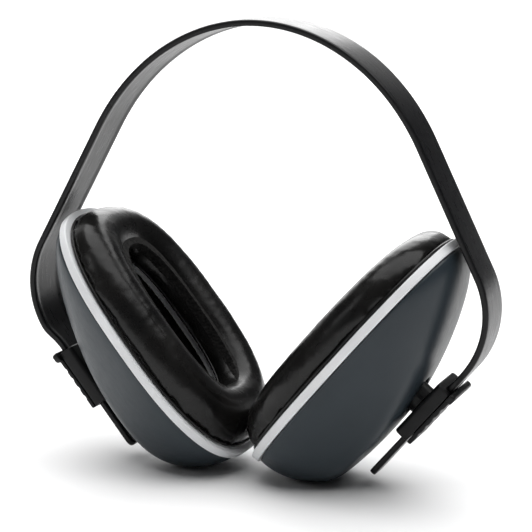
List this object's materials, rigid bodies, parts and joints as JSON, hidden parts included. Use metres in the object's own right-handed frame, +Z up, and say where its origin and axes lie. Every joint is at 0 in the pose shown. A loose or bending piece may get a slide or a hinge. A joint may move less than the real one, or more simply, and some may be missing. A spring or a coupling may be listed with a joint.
{
  "type": "hearing protection earmuffs",
  "caption": "Over-head hearing protection earmuffs: sprung black band, height sliders, swivelling blue-grey cups with soft black cushions, closed and standing on their cups.",
  "frame": {"origin": "middle of the footprint, on the surface that the closed muffs stand on", "axes": "+Z up; +X from the left cup to the right cup; +Y across the band, towards the back"},
  "size_m": [0.1736, 0.0752, 0.1642],
  "materials": {
    "headband": "satin black moulded acetal band",
    "slider": "satin black moulded nylon",
    "hub": "black moulded acetal",
    "pin": "plain bright steel",
    "shell": "slate blue-grey moulded ABS, soft sheen",
    "seal_plate": "light grey moulded plastic",
    "backplate": "black moulded plastic sheet",
    "cushion": "glossy black PVC cushion skin",
    "foam": "dark open-cell foam"
  },
  "bodies": {
    "left_band": {"headband_left": "headband"},
    "left_slider": {"slider_sleeve_left": "slider", "slider_cover_left": "slider"},
    "left_hub": {"swivel_hub_left": "hub"},
    "left_cup": {"pivot_pin_left": "pin", "cup_shell_left": "shell", "foam_liner_left": "foam", "seal_plate_left": "seal_plate", "cushion_backplate_left": "backplate", "cushion_foam_left": "foam", "ear_cushion_left": "cushion"},
    "right_band": {"headband_right": "headband"},
    "right_slider": {"slider_sleeve_right": "slider", "slider_cover_right": "slider"},
    "right_hub": {"swivel_hub_right": "hub"},
    "right_cup": {"pivot_pin_right": "pin", "cup_shell_right": "shell", "foam_liner_right": "foam", "seal_plate_right": "seal_plate", "cushion_backplate_right": "backplate", "cushion_foam_right": "foam", "ear_cushion_right": "cushion"}
  },
  "joints": [
    {"name": "band_spread", "type": "hinge", "parent": "left_band", "child": "right_band", "pos_m": [0, 0, 0.16425], "axis": [0, -1, 0], "range_deg": [0, 45], "stiffness_Nm_per_rad": 1.55, "springref_deg": -5.73},
    {"name": "left_height_slide", "type": "slide", "parent": "left_band", "child": "left_slider", "axis": [0.6347, 0, -0.7727], "range_m": [0, 0.018]},
    {"name": "left_cup_swivel", "type": "hinge", "parent": "left_slider", "child": "left_hub", "pos_m": [-0.05722, 0, 0.03628], "axis": [-0.7727, 0, -0.6347], "range_deg": [-90, 90]},
    {"name": "left_cup_tilt", "type": "hinge", "parent": "left_hub", "child": "left_cup", "pos_m": [-0.05722, 0, 0.03628], "axis": [0, 1, 0], "range_deg": [0, 4.5]},
    {"name": "right_height_slide", "type": "slide", "parent": "right_band", "child": "right_slider", "axis": [-0.6347, 0, -0.7727], "range_m": [0, 0.018]},
    {"name": "right_cup_swivel", "type": "hinge", "parent": "right_slider", "child": "right_hub", "pos_m": [0.05722, 0, 0.03628], "axis": [0.7727, 0, -0.6347], "range_deg": [-90, 90]},
    {"name": "right_cup_tilt", "type": "hinge", "parent": "right_hub", "child": "right_cup", "pos_m": [0.05722, 0, 0.03628], "axis": [0, -1, 0], "range_deg": [0, 4.5]}
  ],
  "couplings": [
    {"joint": "left_height_slide", "follows": "band_spread", "m_per_rad": 0.02291},
    {"joint": "right_height_slide", "follows": "band_spread", "m_per_rad": 0.02291}
  ]
}
